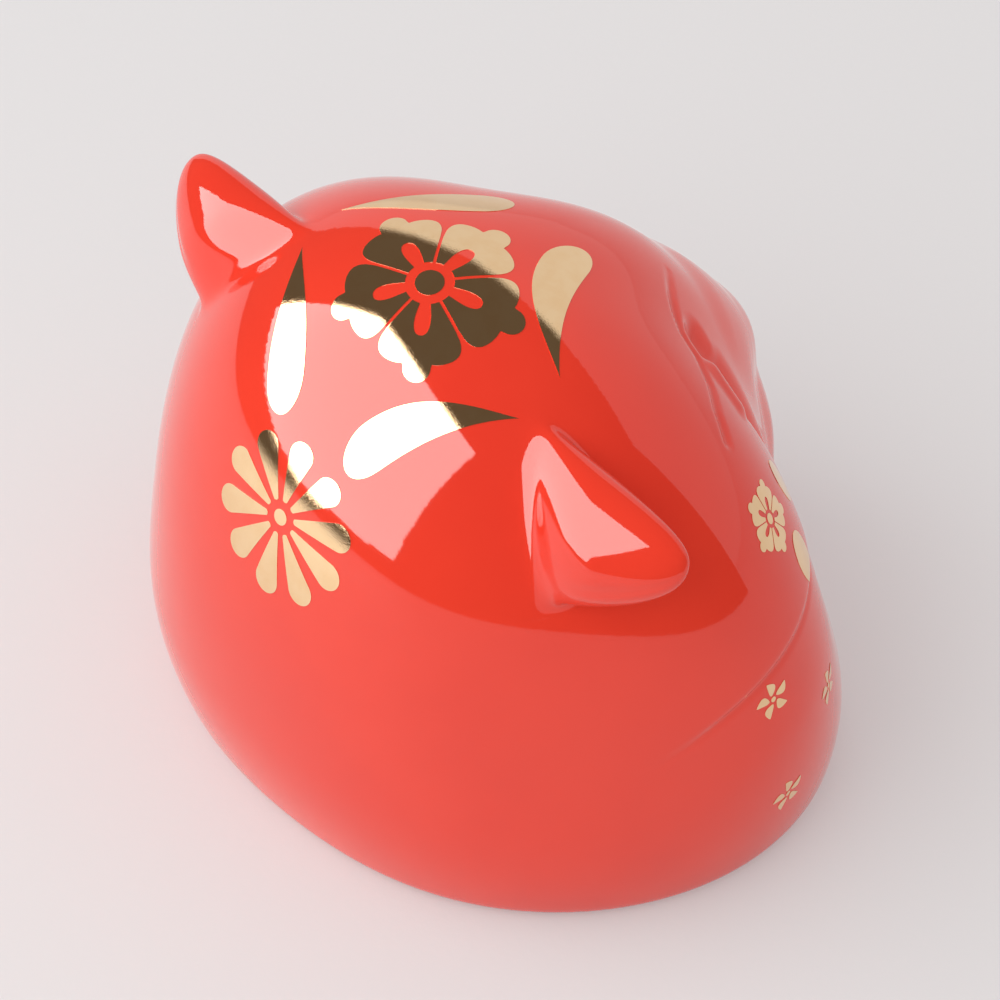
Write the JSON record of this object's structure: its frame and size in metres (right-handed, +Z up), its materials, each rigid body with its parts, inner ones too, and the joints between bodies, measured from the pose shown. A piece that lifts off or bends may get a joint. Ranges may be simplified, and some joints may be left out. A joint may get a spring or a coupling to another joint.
{
  "type": "porcelain tiger figurine",
  "caption": "Rounded hollow porcelain tiger with red glaze, small cupped ears, a resting face and gold blossom and stripe ornaments, standing on a flat foot.",
  "frame": {"origin": "middle of the bounding box, on the floor that the foot stands on", "axes": "+Z up, -Y the way the tiger faces, +X its left side"},
  "size_m": [0.1058, 0.0886, 0.0821],
  "materials": {
    "red_glaze": "polished",
    "fired_gold": "gloss"
  },
  "bodies": {
    "root": {"body_shell": "red_glaze", "left_ear": "red_glaze", "right_ear": "red_glaze", "forehead_petal_1": "fired_gold", "forehead_petal_2": "fired_gold", "forehead_petal_3": "fired_gold", "forehead_petal_4": "fired_gold", "forehead_petal_5": "fired_gold", "forehead_centre": "fired_gold", "nape_petal_1": "fired_gold", "nape_petal_2": "fired_gold", "nape_petal_3": "fired_gold", "nape_petal_4": "fired_gold", "nape_petal_5": "fired_gold", "nape_petal_6": "fired_gold", "nape_petal_7": "fired_gold", "nape_petal_8": "fired_gold", "nape_petal_9": "fired_gold", "nape_petal_10": "fired_gold", "nape_centre": "fired_gold", "left_front_stripe": "fired_gold", "left_rear_stripe": "fired_gold", "left_cheek_blossom": "fired_gold", "left_upper_cheek_spot": "fired_gold", "left_lower_cheek_spot": "fired_gold", "left_shoulder_sprig": "fired_gold", "left_front_sprig": "fired_gold", "left_foot_sprig": "fired_gold", "right_front_stripe": "fired_gold", "right_rear_stripe": "fired_gold", "right_cheek_blossom": "fired_gold", "right_upper_cheek_spot": "fired_gold", "right_lower_cheek_spot": "fired_gold", "right_shoulder_sprig": "fired_gold", "right_front_sprig": "fired_gold", "right_foot_sprig": "fired_gold"}
  },
  "joints": []
}
